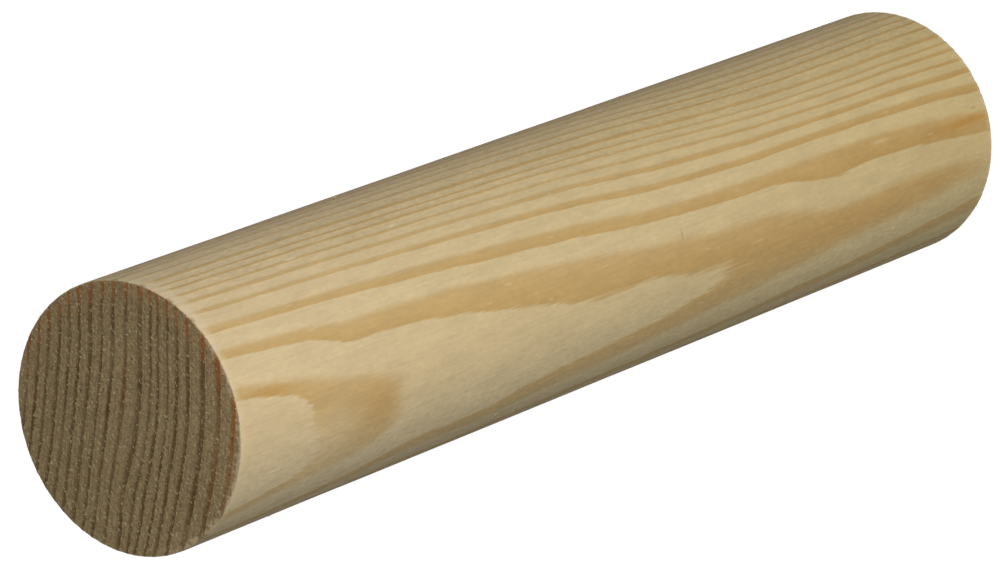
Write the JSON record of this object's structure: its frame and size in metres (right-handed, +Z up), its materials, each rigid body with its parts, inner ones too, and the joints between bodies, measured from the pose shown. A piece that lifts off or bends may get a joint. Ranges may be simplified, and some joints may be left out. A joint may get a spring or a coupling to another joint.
{
  "type": "wooden dowel rod",
  "caption": "Plain round softwood rod with square-sawn ends and sharp arrises, machined smooth and unfinished.",
  "frame": {"origin": "centre of the foot end face, where the rod's axis meets the surface it stands on", "axes": "+Z up the rod's axis, from the foot end to the head end; the flank with the broad cathedral grain faces -Y and -X"},
  "size_m": [0.03, 0.03, 0.15],
  "materials": {
    "pine": "machined smooth, bare wood with no lacquer or oil"
  },
  "bodies": {
    "root": {"dowel": "pine"}
  },
  "joints": []
}
